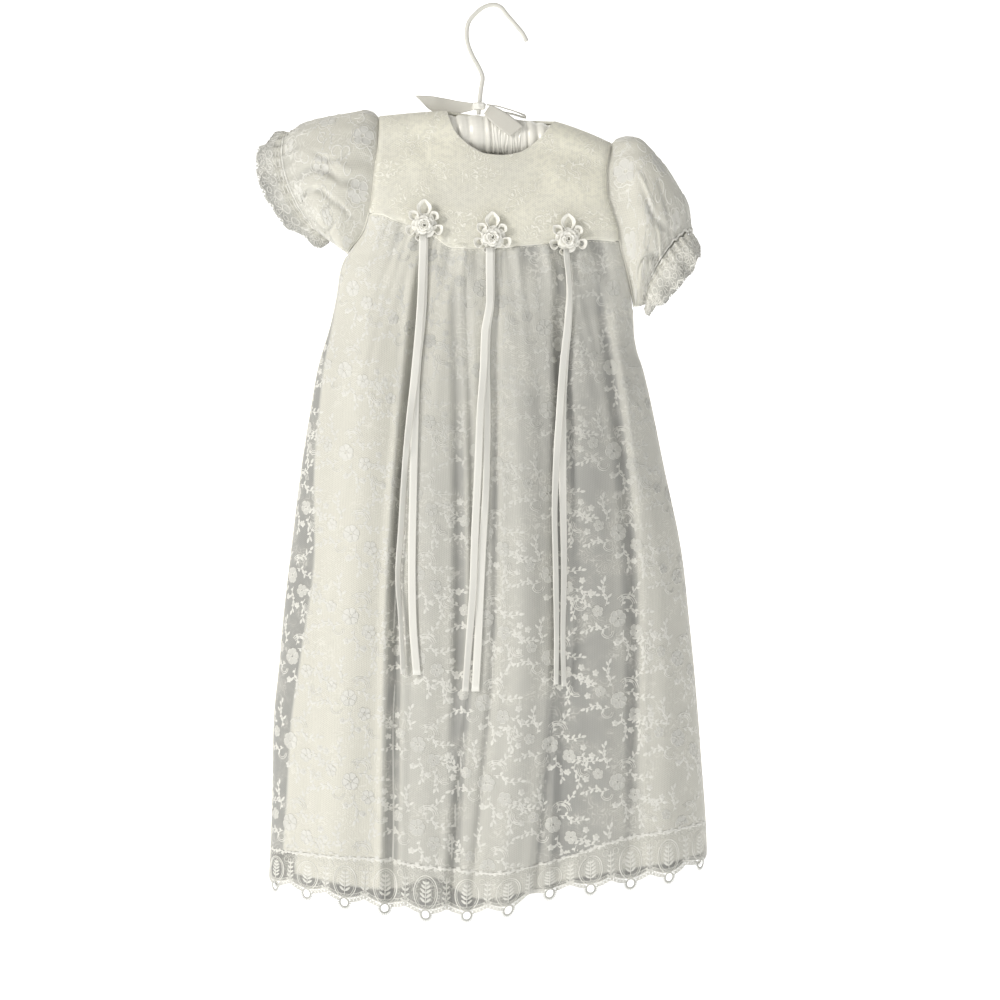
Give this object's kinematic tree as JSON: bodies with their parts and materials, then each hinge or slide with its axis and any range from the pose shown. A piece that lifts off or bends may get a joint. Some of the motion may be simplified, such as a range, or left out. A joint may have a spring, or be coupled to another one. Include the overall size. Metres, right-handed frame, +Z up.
{
  "type": "christening gown on a padded hanger",
  "caption": "Long baby christening gown in ivory lace over satin, round neck, puffed lace-edged sleeves and ribbon rosettes with streamers, hung on a padded satin hanger",
  "frame": {"origin": "the inside of the hook's crown, where a rail carries the hanger", "axes": "+Z up, +X to the viewer's right across the gown, -Y is the gown's front"},
  "size_m": [0.3899, 0.127, 0.7892],
  "materials": {
    "lace_over_satin": "lace lying on satin, soft sheen",
    "satin_lining": "plain satin, low sheen",
    "lace": "floral lace on fine net, matt",
    "satin_ribbon": "satin ribbon, glossy",
    "padded_satin": "padded satin cover, glossy",
    "wrapped_wire": "steel wire wrapped in satin tape",
    "button": "pearly plastic"
  },
  "bodies": {
    "root": {"yoke_front": "lace_over_satin", "yoke_back_left": "lace_over_satin", "yoke_back_right": "lace_over_satin", "back_button_1": "button", "back_button_2": "button", "back_button_3": "button", "skirt_lace_front": "lace", "skirt_lining_front": "satin_lining", "skirt_lace_back": "lace", "skirt_lining_back": "satin_lining", "hem_lace_front": "lace", "hem_lace_back": "lace", "sleeve_left": "lace_over_satin", "sleeve_right": "lace_over_satin", "sleeve_lace_left": "lace", "sleeve_lace_right": "lace", "rosette_left": "satin_ribbon", "rosette_middle": "satin_ribbon", "rosette_right": "satin_ribbon", "streamer_left_1": "satin_ribbon", "streamer_left_2": "satin_ribbon", "streamer_middle_1": "satin_ribbon", "streamer_middle_2": "satin_ribbon", "streamer_right_1": "satin_ribbon", "streamer_right_2": "satin_ribbon", "hanger_bar": "padded_satin", "hanger_hook": "wrapped_wire", "bow_knot": "satin_ribbon", "bow_tail_left": "satin_ribbon", "bow_tail_right": "satin_ribbon", "bow_loop": "satin_ribbon"}
  },
  "joints": []
}
